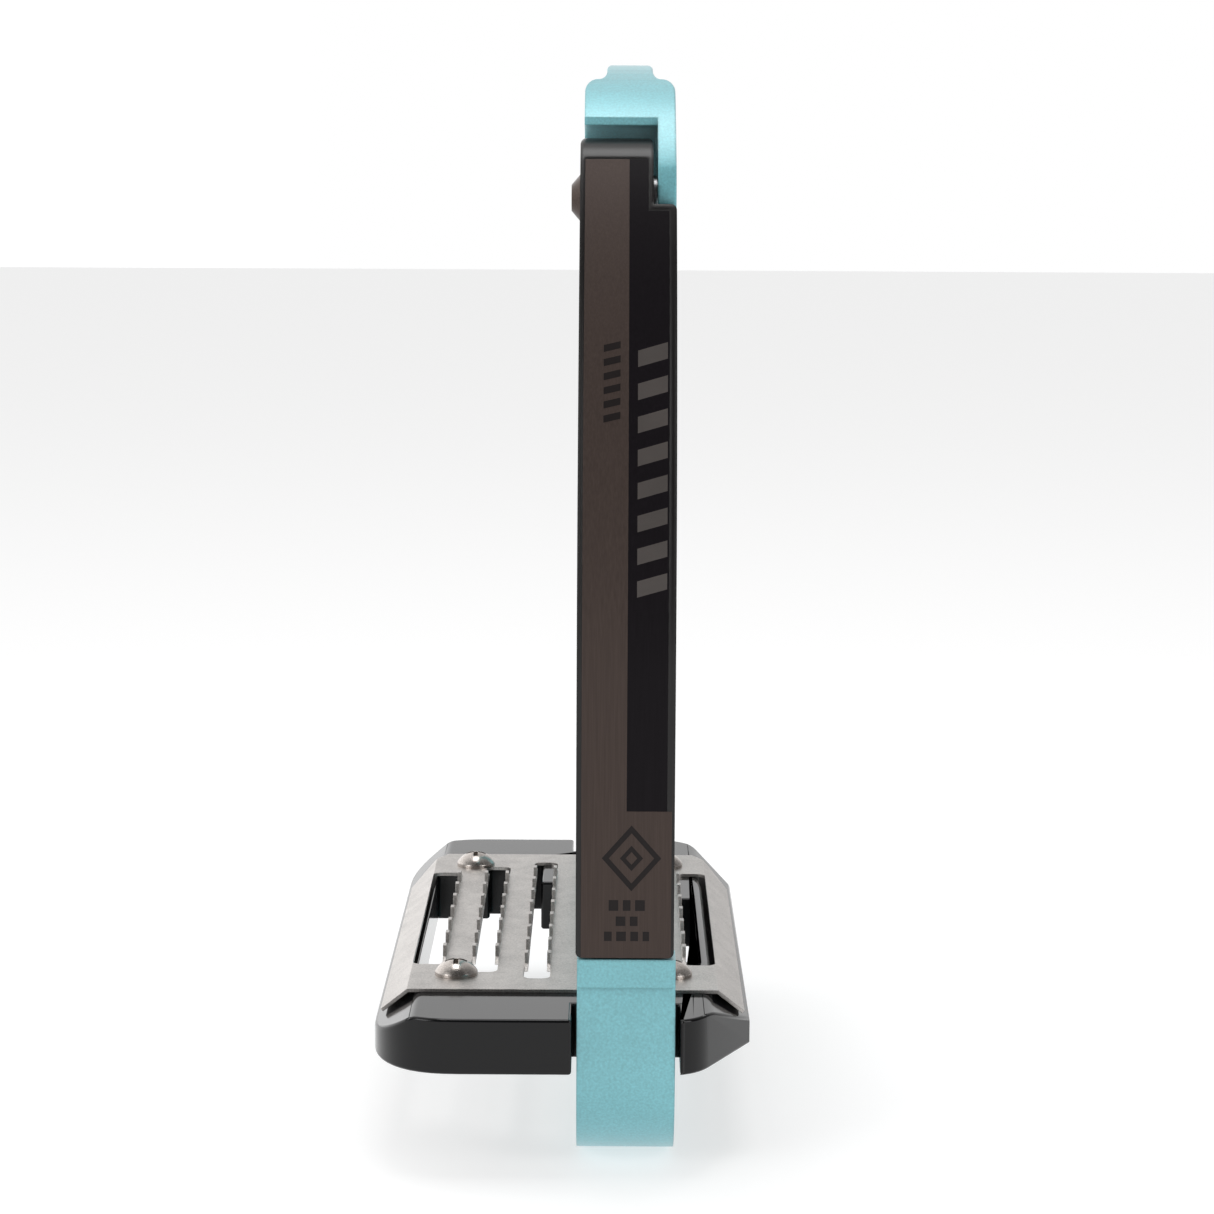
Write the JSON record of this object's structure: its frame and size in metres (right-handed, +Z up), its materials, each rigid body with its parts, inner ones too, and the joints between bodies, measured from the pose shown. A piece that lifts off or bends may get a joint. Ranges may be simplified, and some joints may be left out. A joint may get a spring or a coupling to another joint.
{
  "type": "stirrup iron",
  "caption": "Safety stirrup iron: bell-shaped loop with a sprung hinged outer arm, ball catch, and a screwed metal grip plate on a wide tread.",
  "frame": {"origin": "centre of the base bar's flat underside, on the loop's centre plane", "axes": "+Z up to the strap bar; X along the loop's width with +X on the outer, opening side; Y across the loop, the tread lies further to -Y"},
  "size_m": [0.133, 0.0603, 0.1734],
  "materials": {
    "anodised_frame": "satin turquoise anodising",
    "arm_black": "semi-gloss black",
    "gunmetal_cover": "brushed, gunmetal tint",
    "inlay_black": "satin black",
    "bolt_steel": "dark plated",
    "bush_bronze": "sintered",
    "plain_steel": "plain",
    "spring_steel": "drawn wire",
    "sleeve_brass": "machined",
    "pad_rubber": "matt",
    "housing_black": "gloss black",
    "plate_stainless": "blasted stainless",
    "screw_stainless": "polished stainless"
  },
  "bodies": {
    "loop": {"frame": "anodised_frame", "pivot_bolt": "bolt_steel", "pivot_washer": "plain_steel", "return_spring": "spring_steel", "catch_body": "sleeve_brass", "catch_spring": "spring_steel", "closing_pad": "pad_rubber", "tread_housing": "housing_black", "grip_plate": "plate_stainless", "plate_screws": "screw_stainless", "screw_inserts": "sleeve_brass", "tread_bolts": "bolt_steel", "tread_washers": "plain_steel", "tread_nuts": "plain_steel"},
    "arm": {"release_arm": "arm_black", "arm_cover": "gunmetal_cover", "arm_inlay": "inlay_black", "pivot_bush": "bush_bronze", "catch_strike": "plain_steel"},
    "ball": {"catch_ball": "plain_steel"}
  },
  "joints": [
    {"name": "arm_hinge", "type": "hinge", "parent": "loop", "child": "arm", "pos_m": [0.03032, 0, 0.152], "axis": [0, -1, 0], "range_deg": [0, 65], "stiffness_Nm_per_rad": 0.12, "springref_deg": -28.65, "deforming": ["return_spring"]},
    {"name": "catch_slide", "type": "slide", "parent": "loop", "child": "ball", "axis": [0, 0, -1], "range_m": [0, 0.0009], "stiffness_N_per_m": 150, "springref_m": -0.001, "deforming": ["catch_spring"]}
  ]
}
